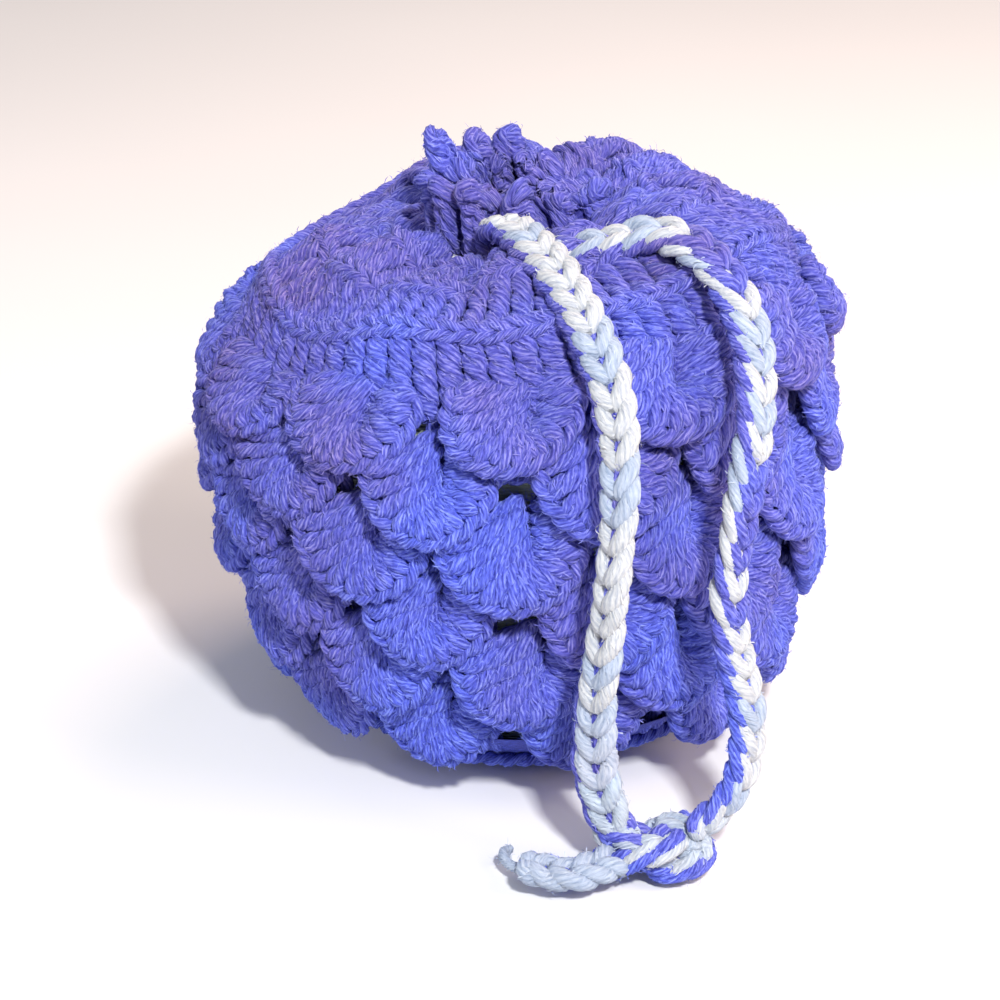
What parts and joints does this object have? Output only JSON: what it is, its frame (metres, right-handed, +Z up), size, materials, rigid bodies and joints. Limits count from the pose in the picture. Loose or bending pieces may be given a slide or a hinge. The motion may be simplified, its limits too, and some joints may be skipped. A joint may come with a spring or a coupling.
{
  "type": "drawstring dice bag",
  "caption": "Round crocheted drawstring pouch with overlapping scale stitches, a frilled neck and a long knotted two-colour drawstring loop.",
  "frame": {"origin": "middle of the base, on the surface that the bag stands on", "axes": "+Z up through the neck, -Y the front where the drawstring hangs, +X to the right seen from the front"},
  "size_m": [0.1586, 0.1831, 0.1397],
  "materials": {
    "violet_yarn": "fuzzy worsted acrylic yarn, crocheted",
    "cord_yarn": "white and violet worsted yarn, chained together",
    "lining_cloth": "plain woven cotton"
  },
  "bodies": {
    "bag": {"base_disc": "violet_yarn", "lining": "lining_cloth", "net_round_1": "violet_yarn", "net_round_2": "violet_yarn", "net_round_3": "violet_yarn", "net_round_4": "violet_yarn", "net_round_5": "violet_yarn", "net_round_6": "violet_yarn", "net_round_7": "violet_yarn", "net_round_8": "violet_yarn", "scale_row_1": "violet_yarn", "scale_row_2": "violet_yarn", "scale_row_3": "violet_yarn", "scale_row_4": "violet_yarn", "scale_row_5": "violet_yarn", "scale_row_6": "violet_yarn", "gather_front": "violet_yarn", "frill_front": "violet_yarn", "channel_cord_front": "cord_yarn"},
    "cord_loop": {"strand_left": "cord_yarn", "strand_right": "cord_yarn", "end_knot": "cord_yarn", "tail_long": "cord_yarn", "tail_short": "cord_yarn"},
    "pleat_1": {"gather_1": "violet_yarn", "frill_1": "violet_yarn", "channel_cord_1": "cord_yarn"},
    "pleat_2": {"gather_2": "violet_yarn", "frill_2": "violet_yarn", "channel_cord_2": "cord_yarn"},
    "pleat_3": {"gather_3": "violet_yarn", "frill_3": "violet_yarn", "channel_cord_3": "cord_yarn"},
    "pleat_4": {"gather_4": "violet_yarn", "frill_4": "violet_yarn", "channel_cord_4": "cord_yarn"},
    "pleat_5": {"gather_5": "violet_yarn", "frill_5": "violet_yarn", "channel_cord_5": "cord_yarn"},
    "pleat_6": {"gather_6": "violet_yarn", "frill_6": "violet_yarn", "channel_cord_6": "cord_yarn"},
    "pleat_7": {"gather_7": "violet_yarn", "frill_7": "violet_yarn", "channel_cord_7": "cord_yarn"},
    "pleat_8": {"gather_8": "violet_yarn", "frill_8": "violet_yarn", "channel_cord_8": "cord_yarn"},
    "pleat_9": {"gather_9": "violet_yarn", "frill_9": "violet_yarn", "channel_cord_9": "cord_yarn"}
  },
  "joints": [
    {"name": "loop_lift", "type": "hinge", "parent": "bag", "child": "cord_loop", "pos_m": [0, -0.03, 0.126], "axis": [-1, 0, 0], "range_deg": [0, 80]},
    {"name": "pleat_1_fold", "type": "hinge", "parent": "bag", "child": "pleat_1", "pos_m": [0.04702, -0.02715, 0.113], "axis": [0.5, 0.866, 0], "range_deg": [0, 12]},
    {"name": "pleat_2_fold", "type": "hinge", "parent": "bag", "child": "pleat_2", "pos_m": [0.0543, 0, 0.113], "axis": [0, 1, 0], "range_deg": [0, 24]},
    {"name": "pleat_3_fold", "type": "hinge", "parent": "bag", "child": "pleat_3", "pos_m": [0.04702, 0.02715, 0.113], "axis": [-0.5, 0.866, 0], "range_deg": [0, 34]},
    {"name": "pleat_4_fold", "type": "hinge", "parent": "bag", "child": "pleat_4", "pos_m": [0.02715, 0.04702, 0.113], "axis": [-0.866, 0.5, 0], "range_deg": [0, 38.8]},
    {"name": "mouth_open", "type": "hinge", "parent": "bag", "child": "pleat_5", "pos_m": [0, 0.0543, 0.113], "axis": [-1, 0, 0], "range_deg": [0, 40]},
    {"name": "pleat_6_fold", "type": "hinge", "parent": "bag", "child": "pleat_6", "pos_m": [-0.02715, 0.04702, 0.113], "axis": [-0.866, -0.5, 0], "range_deg": [0, 38.8]},
    {"name": "pleat_7_fold", "type": "hinge", "parent": "bag", "child": "pleat_7", "pos_m": [-0.04702, 0.02715, 0.113], "axis": [-0.5, -0.866, 0], "range_deg": [0, 34]},
    {"name": "pleat_8_fold", "type": "hinge", "parent": "bag", "child": "pleat_8", "pos_m": [-0.0543, 0, 0.113], "axis": [0, -1, 0], "range_deg": [0, 24]},
    {"name": "pleat_9_fold", "type": "hinge", "parent": "bag", "child": "pleat_9", "pos_m": [-0.04702, -0.02715, 0.113], "axis": [0.5, -0.866, 0], "range_deg": [0, 12]}
  ],
  "couplings": [
    {"joint": "pleat_1_fold", "follows": "mouth_open", "ratio": 0.3},
    {"joint": "pleat_2_fold", "follows": "mouth_open", "ratio": 0.6},
    {"joint": "pleat_3_fold", "follows": "mouth_open", "ratio": 0.85},
    {"joint": "pleat_4_fold", "follows": "mouth_open", "ratio": 0.97},
    {"joint": "pleat_6_fold", "follows": "mouth_open", "ratio": 0.97},
    {"joint": "pleat_7_fold", "follows": "mouth_open", "ratio": 0.85},
    {"joint": "pleat_8_fold", "follows": "mouth_open", "ratio": 0.6},
    {"joint": "pleat_9_fold", "follows": "mouth_open", "ratio": 0.3}
  ]
}
